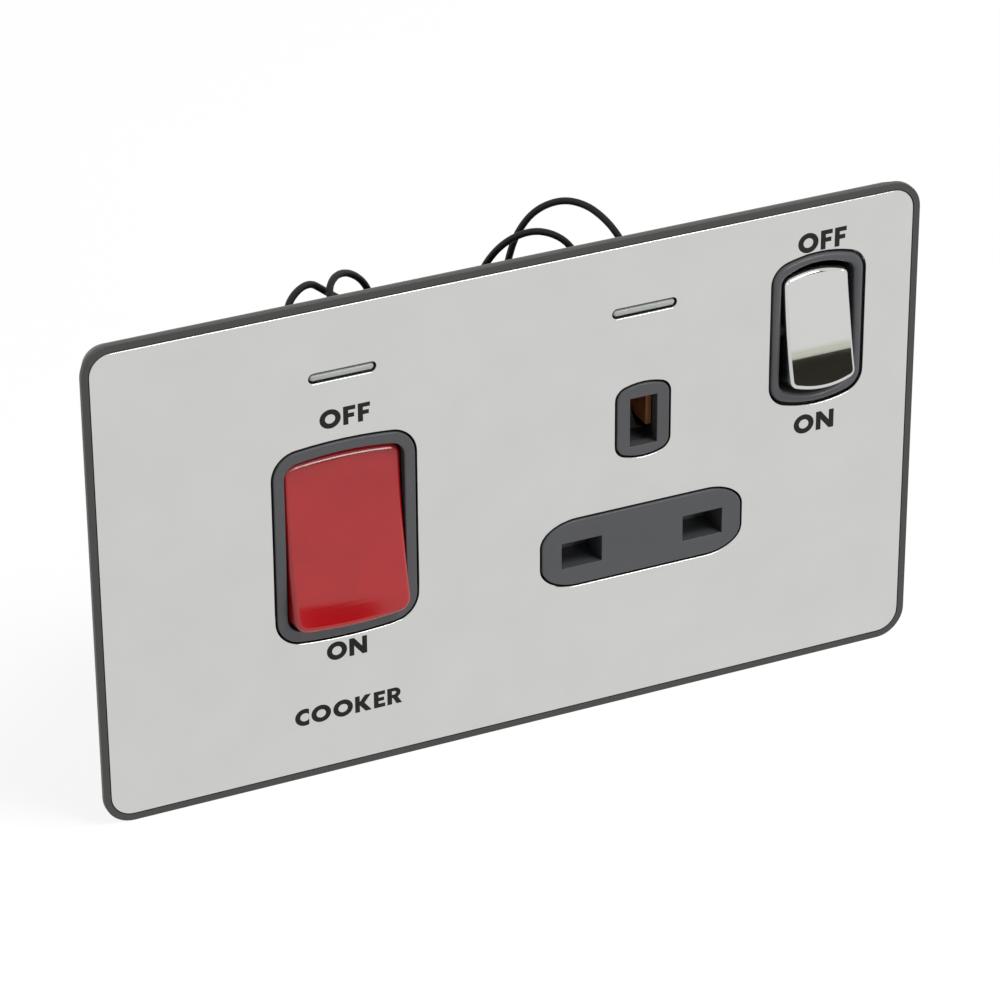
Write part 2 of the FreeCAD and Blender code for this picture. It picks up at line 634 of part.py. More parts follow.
def terminal_screws():
    tip = CABLE_Y + CABLE_R + RUN_GAP
    end = TERMINAL_REAR + CLAMP_PROUD
    return [slotted_screw(x, z, tip, TERMINAL_REAR, end, CLAMP_R, CLAMP_R) for x, z in clamp_places()]


def housing_screws():
    tip = FRONT_D - HOUSING_SCREW_L
    end = COVER_REAR + HOUSING_HEAD_T
    return [slotted_screw(x, z, tip, COVER_REAR, end, HOUSING_SCREW_R, HOUSING_HEAD_R)
            for x, z in HOUSING_SCREWS]


def pin_jaw(x, base, rear):
    """Spring jaw above and below a flat pin, open to the front."""
    gap = PIN_HALF + RUN_GAP
    left = x - JAW_W / 2
    right = x + JAW_W / 2
    return [
        box(left, right, JAW_FRONT, rear, PIN_Z + gap, PIN_Z + gap + STRIP_T),
        box(left, right, JAW_FRONT, rear, PIN_Z - gap - STRIP_T, PIN_Z - gap),
        box(left, right, base, rear, PIN_Z - gap - STRIP_T, PIN_Z + gap + STRIP_T),
    ]


def socket_line_contact():
    """Line jaw with the tail that carries the fixed contact of the socket switch."""
    rear = LINE_TAIL_Y + STRIP_T
    foot = PIN_Z - PIN_HALF - RUN_GAP - STRIP_T
    left = LINE_X + JAW_W / 2 - STRIP_T
    top = SOCKET["z"] + SOCKET["lever_half"] - CONTACT_INSET + CONTACT_R
    up = box(left, left + TAIL_W, LINE_TAIL_Y, rear, foot, top)
    over = box(left, SOCKET["x"] + CONTACT_R, LINE_TAIL_Y, rear, top - TAIL_W, top)
    return fuse(pin_jaw(LINE_X, LINE_TAIL_Y, rear) + [up, over, fixed_contact(SOCKET, 0.0, LINE_TAIL_Y)])


def socket_neutral_contact():
    """Neutral jaw with the tail that runs to the neutral supply terminal."""
    rear = LINK_Y + STRIP_T
    left = NEUTRAL_POLE_X - TAIL_W / 2
    foot = PIN_Z - TAIL_W / 2
    tail = box(left, NEUTRAL_X, LINK_Y, rear, foot, foot + TAIL_W)
    tab = box(left, left + TAIL_W, rear, STRIP_Y, foot, foot + TAIL_W)
    return fuse(pin_jaw(NEUTRAL_X, LINK_Y, rear) + [tail, tab])


def socket_feed_link():
    """Strip from the live supply terminal to the cradle of the socket switch lever."""
    rear = LINK_Y + STRIP_T
    left = LIVE_X - TAIL_W / 2
    riser = NOTCH_X - WALL - LINK_CLEAR - TAIL_W
    top = SOCKET["z"] + EAR_HALF
    tab_z = LOW_Z + TERMINAL_L / 2
    return fuse([
        box(left, riser + TAIL_W, LINK_Y, rear, LINK_Z, LINK_Z + TAIL_W),
        box(left, left + TAIL_W, LINK_Y, rear, LINK_Z, tab_z),
        box(left, left + TAIL_W, rear, STRIP_Y, tab_z - TAIL_W, tab_z),
        box(riser, riser + TAIL_W, LINK_Y, rear, LINK_Z, top),
        box(riser, SOCKET["x"] + cradle_half(SOCKET), LINK_Y, rear, SOCKET["z"] - EAR_HALF, top),
    ] + cradle(SOCKET, 0.0, LINK_Y))


def socket_earth_contact():
    """Copper jaw either side of the earth pin, seated on the earth strap."""
    rear = TERMINAL_FRONT - STRIP_T
    outer = LEAF_GAP + LEAF_T
    foot = EARTH_Z - LEAF_HALF
    top = EARTH_Z + LEAF_HALF
    return fuse([
        box(EARTH_X - outer, EARTH_X + outer, rear - STRIP_T, rear, foot, top),
        box(EARTH_X - outer, EARTH_X - LEAF_GAP, LEAF_FRONT, rear, foot, top),
        box(EARTH_X + LEAF_GAP, EARTH_X + outer, LEAF_FRONT, rear, foot, top),
    ])


def shutter():
    """Sliding shutter: a bar over the line and neutral slots and a ramp that the earth pin pushes."""
    front = FRONT_WALL + SHUTTER_GAP
    rear = front + SHUTTER_T
    half = shutter_half_width()
    foot = shutter_foot_z()
    bar_top = PIN_Z + PIN_SLOT_H / 2 + SHUTTER_LAP
    ramp_foot = EARTH_Z - EARTH_SLOT_H / 2 - SHUTTER_GAP
    low = ramp_foot - RAMP_D
    tip = front + RAMP_D
    bar = box(EARTH_X - half, EARTH_X + half, front, rear, foot, bar_top)
    stem = box(EARTH_X - SHUTTER_STEM_HALF, EARTH_X + SHUTTER_STEM_HALF, front, rear, foot, ramp_foot)
    corners = [(front, low), (front, ramp_foot), (tip, ramp_foot + RAMP_D), (tip, ramp_foot + RAMP_D / 3),
               (rear, ramp_foot - RAMP_D / 2), (rear, low)]
    ramp_half = LEAF_GAP - PASS_GAP
    return fuse([bar, stem, prism(corners, EARTH_X - ramp_half, EARTH_X + ramp_half)])


def shutter_spring():
    spring = coil(SHUTTER_SPRING_L - 2 * RUN_GAP, SHUTTER_TURNS, SHUTTER_COIL_R, SHUTTER_WIRE_R)
    y = FRONT_WALL + SHUTTER_GAP + SHUTTER_T / 2 + SHUTTER_SPRING_SET
    spring.translate(vec(EARTH_X, y, spring_seat_z() + RUN_GAP))
    return spring


def indicator_lens(spec):
    """Light bar in its plate slot, with a flange and two fingers that hold the lamp."""
    x, z, w = spec[:3]
    seat = FRONT_WALL + FLANGE_T
    foot = z - FLANGE_HALF
    top = z + FLANGE_HALF
    reach = w / 2 + FLANGE_SIDE
    parts = [slab(grown(spec, -LENS_GAP), PLATE_FRONT + LENS_RECESS, seat),
             box(x - reach, x + reach, FRONT_WALL, seat, foot, top)]
    for mid in (x - LAMP_L / 3, x + LAMP_L / 3):
        parts.append(box(mid - FINGER_HALF, mid + FINGER_HALF, FRONT_WALL + FLANGE_T / 2, LAMP_Y + LAMP_R / 2,
                         foot, top))
    return fuse(parts).cut(rod_x(x - LAMP_L, x + LAMP_L, LAMP_Y, z, LAMP_R + RUN_GAP))


def indicator_lamp(spec, leads):
    """Neon lamp with two wire tails that run back and up to the ends of its leads."""
    x, z = spec[:2]
    reach = LAMP_L / 2 + TAIL_REACH
    parts = [rod_x(x - LAMP_L / 2, x + LAMP_L / 2, LAMP_Y, z, LAMP_R),
             rod_x(x - reach, x + reach, LAMP_Y, z, TAIL_R)]
    for name in leads:
        end_x, end_y, end_z = LEADS[name][0]
        parts.append(Part.makeSphere(TAIL_R, vec(end_x, LAMP_Y, z)))
        parts.append(rod_y(end_x, LAMP_Y, end_y, z, TAIL_R))
        parts.append(Part.makeSphere(TAIL_R, vec(end_x, end_y, z)))
        parts.append(rod_z(end_x, end_y, z, end_z - TAIL_SHORT, TAIL_R))
    return fuse(parts)


def rear_housing():
    """Cover with a deep tower over the cable terminals and a shallow step behind the socket."""
    tower = TOWER_H / 2
    step = STEP_H / 2
    step_rear = FRONT_D + STEP_D
    inner = COVER_T / 2
    body = fuse([
        housing_block(COVER_INSET, FRONT_D, COVER_REAR),
        box(TOWER_LEFT, TOWER_RIGHT, FRONT_D, TOWER_REAR, -tower, tower),
        box(STEP_LEFT, STEP_RIGHT, FRONT_D, step_rear, -step, step),
    ])
    body = body.cut(box(TOWER_LEFT + COVER_T, TOWER_RIGHT - COVER_T, FRONT_D - OVERRUN, TOWER_REAR - COVER_T,
                        COVER_T - tower, tower - COVER_T))
    body = body.cut(box(STEP_LEFT + COVER_T, STEP_RIGHT - COVER_T, FRONT_D - OVERRUN, step_rear - COVER_T,
                        COVER_T - step, step - COVER_T))
    ribs = [box(x - RIB_HALF, x + RIB_HALF, COVER_REAR, TOWER_REAR - inner, inner - tower, tower - inner)
            for x in (COOKER["x"], NEUTRAL_POLE_X + POLE_PITCH / 2)]
    body = fuse([body] + ribs)
    for x, z in clamp_places():
        body = body.cut(rod_y(x, TOWER_REAR - 2 * COVER_T, TOWER_REAR + OVERRUN, z, CLAMP_R + DRIVER_GAP))
        mouth = sorted((z, math.copysign(FAR, z)))
        body = body.cut(rod_z(x, CABLE_Y, mouth[0], mouth[1], CABLE_R + DRIVER_GAP))
    for x, z in HOUSING_SCREWS:
        body = body.cut(rod_y(x, FRONT_D - OVERRUN, COVER_REAR + OVERRUN, z, HOUSING_SCREW_R + RUN_GAP))
    for points in LEADS.values():
        body = body.cut(lead_hole(points[-1], points[-2]))
    return body


def lead(points):
    """Wire along straight runs with the largest tangent arcs that the runs allow."""
    corners = [vec(*p) for p in points]
    edges = []
    radii = []
    start = corners[0]
    for before, corner, after in zip(corners, corners[1:], corners[2:]):
        back = before.sub(corner)
        ahead = after.sub(corner)
        trim = LEAD_TRIM * min(back.Length, ahead.Length)
        back.normalize()
        ahead.normalize()
        half_turn = (math.pi - back.getAngle(ahead)) / 2
        radius = trim / math.tan(half_turn)
        inward = (back + ahead).normalize()
        arc_in = corner + back * trim
        arc_mid = corner + inward * (radius / math.cos(half_turn) - radius)
        arc_out = corner + ahead * trim
        edges.append(Part.LineSegment(start, arc_in).toShape())
        edges.append(Part.Arc(arc_in, arc_mid, arc_out).toShape())
        radii.append(radius)
        start = arc_out
    edges.append(Part.LineSegment(start, corners[-1]).toShape())
    path = Part.Wire(edges)
    ring = Part.Wire(Part.makeCircle(LEAD_R, corners[0], corners[1].sub(corners[0])))
    tube = path.makePipeShell([ring], True, False)
    share = tube.Volume / (math.pi * LEAD_R ** 2 * path.Length)
    print("lead", round(path.Length, 1), "mm, radii", [round(r, 1) for r in radii], "volume", round(share, 4))
    return tube


def save(name, shapes):
    shape = shapes if isinstance(shapes, Part.Shape) else Part.makeCompound(shapes)
    shape.exportStep(os.path.join("parts", name + ".step"))


def main():
    os.makedirs("parts", exist_ok=True)
    save("face_plate", face_plate())
    save("plate_carrier", plate_carrier())
    save("support_frame", support_frame())
    save("frame_rivets", [rivet(x, z) for x, z in RIVETS])
    save("front_housing", front_housing())
    save("rear_housing", rear_housing())
    save("housing_screws", housing_screws())
    save("terminal_screws", terminal_screws())
    save("cooker_rocker", rocker(COOKER))
    for pole, offset in zip(("live", "neutral"), COOKER["stems"]):
        save("cooker_plunger_" + pole, plunger(COOKER, offset))
        save("cooker_spring_" + pole, plunger_spring(COOKER, offset))
        save("cooker_lever_" + pole, lever(COOKER, offset))
        save("supply_terminal_" + pole, supply_terminal(offset))
        save("load_terminal_" + pole, load_terminal(offset))
    save("earth_terminal", earth_terminal())
    save("socket_rocker", rocker(SOCKET))
    save("socket_plunger", plunger(SOCKET, 0.0))
    save("socket_spring", plunger_spring(SOCKET, 0.0))
    save("socket_lever", lever(SOCKET, 0.0))
    save("socket_feed_link", socket_feed_link())
    save("socket_line_contact", socket_line_contact())
    save("socket_neutral_contact", socket_neutral_contact())
    save("socket_earth_contact", socket_earth_contact())
    save("shutter", shutter())
    save("shutter_spring", shutter_spring())
    for name, spec in (("cooker", COOKER_LIGHT), ("socket", SOCKET_LIGHT)):
        leads = (name + "_lead_left", name + "_lead_right")
        save(name + "_indicator_lens", indicator_lens(spec))
        save(name + "_indicator_lamp", indicator_lamp(spec, leads))
    for name, points in LEADS.items():
        save(name, lead(points))


main()
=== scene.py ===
"""Looks of a cooker control unit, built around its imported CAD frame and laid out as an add-on."""
import json
import math

import bmesh
import bpy
from bpy.props import FloatProperty, FloatVectorProperty, PointerProperty, StringProperty
from mathutils import Matrix, Vector


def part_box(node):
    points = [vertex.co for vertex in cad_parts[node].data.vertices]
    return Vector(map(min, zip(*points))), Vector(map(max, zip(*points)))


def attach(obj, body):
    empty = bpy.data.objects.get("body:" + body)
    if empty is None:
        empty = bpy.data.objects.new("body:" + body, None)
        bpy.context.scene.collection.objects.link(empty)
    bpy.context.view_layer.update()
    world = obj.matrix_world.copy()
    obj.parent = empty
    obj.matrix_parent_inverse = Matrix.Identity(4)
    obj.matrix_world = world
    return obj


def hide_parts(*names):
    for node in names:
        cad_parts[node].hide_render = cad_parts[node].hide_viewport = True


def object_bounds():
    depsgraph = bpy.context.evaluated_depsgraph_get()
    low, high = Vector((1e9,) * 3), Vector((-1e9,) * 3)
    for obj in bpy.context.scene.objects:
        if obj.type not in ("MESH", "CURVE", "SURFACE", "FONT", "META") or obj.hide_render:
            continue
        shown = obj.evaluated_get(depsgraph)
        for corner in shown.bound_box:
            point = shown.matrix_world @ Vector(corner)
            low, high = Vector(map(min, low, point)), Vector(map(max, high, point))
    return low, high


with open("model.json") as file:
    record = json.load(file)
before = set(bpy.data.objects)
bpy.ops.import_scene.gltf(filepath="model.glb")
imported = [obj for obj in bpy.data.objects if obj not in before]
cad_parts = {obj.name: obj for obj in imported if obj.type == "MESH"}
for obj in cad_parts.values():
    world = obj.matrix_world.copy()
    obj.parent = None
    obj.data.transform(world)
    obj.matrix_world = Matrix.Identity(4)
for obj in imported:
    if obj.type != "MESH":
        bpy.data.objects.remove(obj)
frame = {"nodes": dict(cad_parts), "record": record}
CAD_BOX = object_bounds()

bl_info = {
    "name": "Cooker control unit",
    "version": (1, 0, 0),
    "blender": (4, 5, 0),
    "location": "View3D > Sidebar > Cooker unit",
    "description": "Finishes, edges, legends, leads and stage of a cooker switch and socket unit",
    "category": "Object",
}

MM = 0.001
NODES = frame["nodes"]
PLATE_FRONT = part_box("face_plate")[0].y
FLOOR_Z = CAD_BOX[0].z
MERGE = 0.002 * MM             # triangles of a CAD copy are joined at this distance
FLAT = math.radians(0.6)       # faces within this angle become one
SHARP = math.radians(34)       # edges past this angle are rounded or kept crisp
EDGE_STEPS = 3                 # faces round a rounded edge
BODY_OF = {node: body for body, nodes in frame["record"]["behaviour"]["bodies"].items() for node in nodes}

# Materials: cells in millimetres, and the least and most of a tone or gloss as shares of its set value
RAMP_STOPS = (0.3, 0.7)
PIGMENT_CELL = 7.0
PIGMENT_TONE = (0.94, 1.06)
GRAIN_GLOSS = (0.85, 1.15)
TARNISH_CELL = 9.0
LINE_GLOSS = (0.7, 1.3)

# Rockers in millimetres: pivot height, tilt at rest in degrees, front before the pivot, height, depth of the
# dish, power of the dish's curve, where the remade front begins, and the rolls at the top, the sides and
# the foot
COOKER_ROCKER = {"z": 0.1, "tilt": 8.0, "rise": 4.2, "h": 30.7, "dish": 1.1, "bend": 2.0, "cut": -2.8,
                 "top": 1.8, "side": 0.8, "foot": 1.0}
SOCKET_ROCKER = {"z": 19.3, "tilt": 11.5, "rise": 4.3, "h": 21.0, "dish": 0.5, "bend": 3.0, "cut": -3.5,
                 "top": 1.1, "side": 0.5, "foot": 0.8}
PIVOT_Y = -1.2                 # rocker pivots, millimetres from the wall
ROLL_STEPS = 8                 # faces round a rocker's rolled edge
DISH_STRIPS = 36               # faces down a rocker's dish
BRIM_CUTS = (8, 4, 2, 1)       # cuts tried in turn on the edges of a rocker's brim
BRIM_STEP = 0.7                # an edge longer than this times the cuts is cut, millimetres

# Rounding of edges on the front, as shares of the set width
FACE_DEPTH = -3.0              # edges behind this lie inside, millimetres from the wall
SOCKET_BEZEL_X = 44.0          # the socket rocker's bezel lies right of this, millimetres
INNER_SHARE = 0.1
BOSS_SHARE = 0.35
SLOT_SHARE = 0.15

# Pin slots: middle x and z, half width and half height in millimetres, a little over
PIN_SLOTS = ((22.95, 9.6, 2.8, 4.8), (11.83, -12.63, 4.0, 2.7), (34.07, -12.63, 4.0, 2.7))

# Routes of the indicator leads in millimetres, as in the part's source, and each lead's length
LEADS = {
    "cooker_lead_left": (32.9, (
        (-34.45, 8.0, 32.3), (-34.3, 8.8, 34.6), (-33.0, 10.4, 36.7), (-30.4, 12.2, 37.7),
        (-27.9, 13.6, 37.4), (-25.9, 14.8, 35.6), (-23.4, 16.4, 33.2), (-20.6, 17.8, 30.8),
        (-19.9, 20.4, 27.0), (-19.9, 22.2, 23.6), (-19.9, 22.6, 21.2))),
    "cooker_lead_right": (31.9, (
        (-25.65, 8.0, 32.3), (-26.0, 9.2, 34.8), (-25.7, 11.6, 36.8), (-23.5, 14.2, 37.6),
        (-20.4, 16.4, 36.6), (-17.4, 18.0, 34.0), (-15.3, 19.7, 30.6), (-14.0, 21.5, 26.8),
        (-13.4, 22.5, 23.8), (-13.3, 22.6, 21.2))),
    "socket_lead_left": (31.7, (
        (18.6, 11.0, 32.3), (17.6, 11.4, 35.1), (15.3, 13.0, 37.4), (11.8, 15.0, 38.1), (8.0, 17.2, 35.9),
        (5.4, 19.4, 31.6), (4.6, 21.4, 26.6), (4.5, 22.3, 23.6), (4.7, 22.6, 21.2))),
    "socket_lead_right": (37.2, (
        (27.4, 11.0, 32.3), (26.4, 12.4, 35.0), (25.1, 15.4, 37.3), (23.2, 18.8, 38.8), (20.0, 21.4, 39.2),
        (16.0, 23.2, 37.3), (13.2, 24.2, 33.2), (11.8, 24.6, 28.4), (11.2, 24.8, 24.2), (11.4, 24.6, 21.2))),
}

# Stage: the lamps' names, places and sides in metres, powers in watts, and whether mirrors show them
LAMPS = (("Overhead softbox", (0.42, -0.42, 1.0), 0.5, 13.5, False),
         ("Front softbox", (0.55, -1.42, 0.41), 0.4, 5.0, True))
WORLD_FILL = 0.22              # light of the white surroundings on the unit
FLOOR_HALF = 3.0               # half the floor's side, metres
FLOOR_GLOW = 1.04              # brightness of the paper's glow
FLOOR_GLOW_SHARE = 0.86        # how much of what the eye sees of the floor is glow
SENSOR = 36.0                  # camera sensor, millimetres
CLIP_START = 0.01              # nearest distance that the camera shows, metres

# Black cards ahead of the unit in metres: left, right, distance, foot above the floor at each side, and top
BLACK_CARDS = ((0.08, 0.102, 0.37, -0.0018, 0.0095, 0.05), (0.36, 0.43, 0.73, 0.0, 0.0, 0.2))
# Strip of paper on the floor in metres: left, right, near and far edge, and how far it lies above the floor
PAPER_STRIP = (0.29, 0.43, 0.575, 0.73)
PAPER_LIFT = 0.0005

# Letters in cap heights: the round of O and C, where C opens, R's bowl, and the corners of the straight parts
ROUND_SIDES = 48
CUT_REACH = 1e-6               # corners this near a cut count as on it
BOWL_STROKE = 0.84             # stroke of R's bowl, as a share of the stroke of O and C
LETTER_ROUND = 0.52
LETTER_MOUTH = 0.22
LETTER_BOWL = 0.31
LETTER_BOWL_X = 0.4
LETTERS = {
    "F": (((0, 0), (0.25, 0), (0.25, 0.37), (0.54, 0.37), (0.54, 0.6), (0.25, 0.6), (0.25, 0.77),
           (0.6, 0.77), (0.6, 1), (0, 1)),),
    "E": (((0, 0), (0.6, 0), (0.6, 0.23), (0.25, 0.23), (0.25, 0.39), (0.55, 0.39), (0.55, 0.61),
           (0.25, 0.61), (0.25, 0.77), (0.6, 0.77), (0.6, 1), (0, 1)),),
    "N": (((0, 0), (0.25, 0), (0.25, 0.55), (0.67, 0), (0.92, 0), (0.92, 1), (0.67, 1), (0.67, 0.45),
           (0.25, 1), (0, 1)),),
    "K": (((0, 0), (0.25, 0), (0.25, 0.4), (0.55, 0), (0.88, 0), (0.5, 0.52), (0.85, 1), (0.53, 1),
           (0.25, 0.62), (0.25, 1), (0, 1)),),
    "R": (((0, 0), (0.25, 0), (0.25, 0.8), (0.41, 0.8), (0.41, 1), (0, 1)),
          ((0.25, 0.38), (0.41, 0.38), (0.41, 0.58), (0.25, 0.58)),
          ((0.3, 0.38), (0.48, 0), (0.78, 0), (0.56, 0.41), (0.42, 0.4))),
}

# Printed words: left, right, bottom and top in millimetres on the plate's front
LEGENDS = {
    "legend_cooker_off": ("OFF", -34.2, -25.5, 20.7, 24.1),
    "legend_cooker_on": ("ON", -34.0, -26.9, -22.1, -18.7),
    "legend_cooker": ("COOKER", -39.9, -20.9, -33.2, -30.0),
    "legend_socket_off": ("OFF", 50.8, 59.7, 33.9, 37.5),
    "legend_socket_on": ("ON", 50.9, 58.4, 0.35, 3.9),
}


class FinishSettings(bpy.types.PropertyGroup):
    steel: StringProperty(name="Plate steel", description="Polished plate, sRGB hex", default="#CBCBC9")
    rim: StringProperty(name="Carrier", description="Moulded plate carrier, sRGB hex", default="#31312E")
    housing: StringProperty(name="Housing", description="Bezels and housing, sRGB hex", default="#3D3E41")
    red: StringProperty(name="Cooker rocker", description="Glossy red rocker, sRGB hex", default="#9C0F14")
    chrome: StringProperty(name="Socket rocker", description="Plated rocker, sRGB hex", default="#CBCBC9")
    lens: StringProperty(name="Indicator lens", description="Light bar, sRGB hex", default="#A0A4A2")
    ink: StringProperty(name="Legend ink", description="Printed words, sRGB hex", default="#141413")
    sleeve: StringProperty(name="Lead sleeve", description="Indicator leads, sRGB hex", default="#0D0C0C")


class EdgeSettings(bpy.types.PropertyGroup):
    plate: FloatProperty(name="Plate edge", description="Rounding of the pressed plate", unit="LENGTH",
                         default=0.2 * MM, min=0.0)
    rim: FloatProperty(name="Carrier edge", description="Rounding of the carrier", unit="LENGTH",
                       default=0.22 * MM, min=0.0)
    housing: FloatProperty(name="Housing edge", description="Rounding of bezels and bosses", unit="LENGTH",
                           default=0.8 * MM, min=0.0)
    metal: FloatProperty(name="Metal edge", description="Rounding of terminals and strips", unit="LENGTH",
                         default=0.15 * MM, min=0.0)
    lens: FloatProperty(name="Lens edge", description="Rounding of the indicator bars", unit="LENGTH",
                        default=0.45 * MM, min=0.0)


class LegendSettings(bpy.types.PropertyGroup):
    stroke: FloatProperty(name="Stroke", description="Stroke of the round letters, in cap heights",
                          default=0.27, min=0.05, max=0.5)
    space: FloatProperty(name="Letter space", description="Gap between letters, in cap heights",
                         default=0.12, min=0.0)
    film: FloatProperty(name="Ink film", description="Thickness of the print", unit="LENGTH",
                        default=0.02 * MM, min=0.0)


class LeadSettings(bpy.types.PropertyGroup):
    diameter: FloatProperty(name="Diameter", description="Outside of the sleeve", unit="LENGTH",
                            default=1.2 * MM, min=0.3 * MM)


class StageSettings(bpy.types.PropertyGroup):
    azimuth: FloatProperty(name="Azimuth", description="Camera round the unit", subtype="ANGLE",
                           default=math.radians(-24.334))
    elevation: FloatProperty(name="Elevation", description="Camera above the horizon", subtype="ANGLE",
                             default=math.radians(29.183))
    roll: FloatProperty(name="Roll", description="Camera about its own axis", subtype="ANGLE",
                        default=math.radians(-0.35))
    distance: FloatProperty(name="Distance", description="Camera to the plate", unit="LENGTH",
                            default=764.3 * MM)
    aside: FloatVectorProperty(name="Aside", description="Camera moved right and up", size=2, unit="LENGTH",
                               default=(-2.68 * MM, 0.05 * MM))
    lens: FloatProperty(name="Lens", description="Focal length on a 36 mm sensor", default=168.685)


class UnitSettings(bpy.types.PropertyGroup):
    finish: PointerProperty(type=FinishSettings, name="Finishes", description="Colours of the pieces")
    edge: PointerProperty(type=EdgeSettings, name="Edges", description="Roundings of the pieces")
    legend: PointerProperty(type=LegendSettings, name="Legends", description="Printed words")
    lead: PointerProperty(type=LeadSettings, name="Leads", description="Indicator leads")
    stage: PointerProperty(type=StageSettings, name="Stage", description="Camera")


def colour(text):
    """Linear RGBA of an sRGB hex value."""
    out = []
    for i in (1, 3, 5):
        c = int(text[i:i + 2], 16) / 255
        out.append(c / 12.92 if c <= 0.04045 else ((c + 0.055) / 1.055) ** 2.4)
    return (*out, 1.0)


def add(tree, kind, values=None, links=None, **settings):
    """One shader node with its settings, socket values and incoming links."""
    node = tree.nodes.new("ShaderNode" + kind)
    for name, value in settings.items():
        setattr(node, name, value)
    for socket, value in (values or {}).items():
        node.inputs[socket].default_value = value
    for socket, source in (links or {}).items():
        tree.links.new(source, node.inputs[socket])
    return node


def new_material(name):
    """An empty node material and its tree."""
    material = bpy.data.materials.new(name)
    material.use_nodes = True
    material.node_tree.nodes.clear()
    return material, material.node_tree


def per_mm(size):
    """Texture scale for a pattern whose cells are this many millimetres."""
    return 1 / (size * MM)


def mottle(tree, place, text, cell, detail, shares):
    """A slow change of tone about a colour, from the first share of it to the second."""
    cloud = add(tree, "TexNoise", {"Scale": per_mm(cell), "Detail": detail}, {"Vector": place})
    tone = add(tree, "ValToRGB", links={"Fac": cloud.outputs["Fac"]})
    for stop, at, share in zip(tone.color_ramp.elements, RAMP_STOPS, shares):
        stop.position = at
        stop.color = (*(c * share for c in colour(text)[:3]), 1.0)
    return tone.outputs["Color"]


def surface(tree, tone, pattern, rough, shares, depth, sockets):
    """The shader of a toned surface, with a pattern in its gloss and its bump."""
    least, most = shares
    gloss = add(tree, "MapRange", {"To Min": rough * least, "To Max": rough * most}, {"Value": pattern})
    bump = add(tree, "Bump", {"Strength": 1.0, "Distance": depth * MM}, {"Height": pattern})
    shader = add(tree, "BsdfPrincipled", sockets,
                 {"Base Color": tone, "Roughness": gloss.outputs["Result"], "Normal": bump.outputs["Normal"]})
    add(tree, "OutputMaterial", links={"Surface": shader.outputs["BSDF"]})


def moulded(name, text, rough, grain, depth, **sockets):
    """A moulded plastic: faint mottle of the pigment, and the mould's grain in the gloss and the bump."""
    material, tree = new_material(name)
    place = add(tree, "TexCoord").outputs["Object"]
    tone = mottle(tree, place, text, PIGMENT_CELL, 3.0, PIGMENT_TONE)
    grit = add(tree, "TexNoise", {"Scale": per_mm(grain), "Detail": 2.0}, {"Vector": place})
    surface(tree, tone, grit.outputs["Fac"], rough, GRAIN_GLOSS, depth, sockets)
    return material


def worked_metal(name, text, rough, line, depth, stretch=(0.05, 1.0, 1.0), tarnish=0.08):
    """A metal with the lines its making left, in the gloss and the bump, and a slow change of tone."""
    material, tree = new_material(name)
    place = add(tree, "TexCoord").outputs["Object"]
    along = add(tree, "Mapping", {"Scale": stretch}, {"Vector": place}).outputs["Vector"]
    lines = add(tree, "TexNoise", {"Scale": per_mm(line), "Detail": 3.0}, {"Vector": along})
    tone = mottle(tree, place, text, TARNISH_CELL, 2.0, (1.0 - tarnish, 1.0))
    surface(tree, tone, lines.outputs["Fac"], rough, LINE_GLOSS, depth, {"Metallic": 1.0})
    return material


def fibres(tree, cell, dark, pale):
    """The tone of paper or card, between two close colours."""
    place = add(tree, "TexCoord").outputs["Object"]
    fibre = add(tree, "TexNoise", {"Scale": per_mm(cell), "Detail": 2.0}, {"Vector": place})
    tone = add(tree, "ValToRGB", links={"Fac": fibre.outputs["Fac"]})
    tone.color_ramp.elements[0].color = colour(dark)
    tone.color_ramp.elements[1].color = colour(pale)
    return tone.outputs["Color"]


def lamp_glass():
    """Drawn soda glass of the neon lamps, clear, with the slight waves of the draw."""
    material, tree = new_material("drawn_soda_glass")
    place = add(tree, "TexCoord").outputs["Object"]
    waves = add(tree, "TexNoise", {"Scale": per_mm(1.5), "Detail": 1.0}, {"Vector": place})
    gloss = add(tree, "MapRange", {"To Min": 0.02, "To Max": 0.06}, {"Value": waves.outputs["Fac"]})
    shader = add(tree, "BsdfPrincipled",
                 {"Base Color": colour("#EFEDE6"), "Transmission Weight": 0.9, "IOR": 1.51},
                 {"Roughness": gloss.outputs["Result"]})
    add(tree, "OutputMaterial", links={"Surface": shader.outputs["BSDF"]})
    return material


def cad_copy(node):
    """The CAD node's triangles, merged and with flat areas made one face each."""
    bm = bmesh.new()
    bm.from_mesh(NODES[node].data)
    bmesh.ops.remove_doubles(bm, verts=bm.verts, dist=MERGE)
    bmesh.ops.dissolve_limit(bm, angle_limit=FLAT, verts=bm.verts, edges=bm.edges)
    return bm


def stand_for(piece, node):
    """The piece takes the CAD node's place and body."""
    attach(piece, BODY_OF[node])
    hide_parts(node)
    return piece


def crisp(bm):
    """Edges past the sharp angle stay crisp under smooth shading."""
    for line in bm.edges:
        line.smooth = line.is_manifold and line.calc_face_angle() < SHARP


def dress(node, material, edge, share=None):
    """A copy of a CAD node with its crisp edges rounded; share gives each edge its part of the width."""
    bm = cad_copy(node)
    weight = bm.edges.layers.float.new("bevel_weight_edge")
    for line in bm.edges:
        if line.is_manifold and line.calc_face_angle() > SHARP:
            line.smooth = False
            line[weight] = share((line.verts[0].co + line.verts[1].co) / 2) if share else 1.0
    piece = place_mesh(bm, node + "_dressed", material)
    rounding = piece.modifiers.new("Rounded edges", "BEVEL")
    rounding.width = edge
    rounding.segments = EDGE_STEPS
    rounding.limit_method = "WEIGHT"
    rounding.use_clamp_overlap = share is None
    rounding.harden_normals = True
    return stand_for(piece, node)


